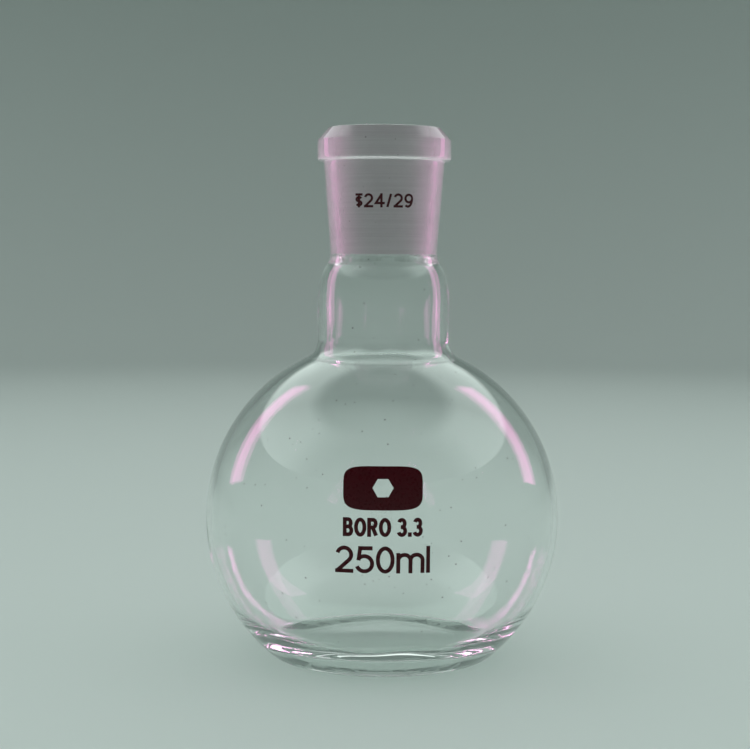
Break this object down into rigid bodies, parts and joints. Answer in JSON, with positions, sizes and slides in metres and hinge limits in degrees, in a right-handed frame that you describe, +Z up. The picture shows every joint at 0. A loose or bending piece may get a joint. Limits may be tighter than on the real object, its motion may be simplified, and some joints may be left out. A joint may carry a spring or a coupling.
{
  "type": "flat bottom flask",
  "caption": "Spherical glass boiling flask with a flattened base and a tapered ground socket; holds liquids for heating and takes ground-joint adapters.",
  "frame": {"origin": "middle of the base, on the plane that the flask stands on", "axes": "+Z up the axis of bulb, neck and socket; the printed front faces -Y"},
  "size_m": [0.085, 0.0853, 0.126],
  "materials": {
    "clear_glass": "fire polished, clear",
    "ground_glass": "finely ground on the bore, matt",
    "maroon_enamel": "fired enamel print, satin"
  },
  "bodies": {
    "root": {"flask_body": "clear_glass", "ground_socket": "ground_glass", "marking_field": "maroon_enamel", "joint_size_1_taper": "maroon_enamel", "joint_size_2_two": "maroon_enamel", "joint_size_3_four": "maroon_enamel", "joint_size_4_slash": "maroon_enamel", "joint_size_5_two": "maroon_enamel", "joint_size_6_nine": "maroon_enamel", "glass_type_1_B": "maroon_enamel", "glass_type_2_O": "maroon_enamel", "glass_type_3_R": "maroon_enamel", "glass_type_4_O": "maroon_enamel", "glass_type_6_three": "maroon_enamel", "glass_type_7_point": "maroon_enamel", "glass_type_8_three": "maroon_enamel", "capacity_1_two": "maroon_enamel", "capacity_2_five": "maroon_enamel", "capacity_3_zero": "maroon_enamel", "capacity_4_m": "maroon_enamel", "capacity_5_l": "maroon_enamel"}
  },
  "joints": []
}
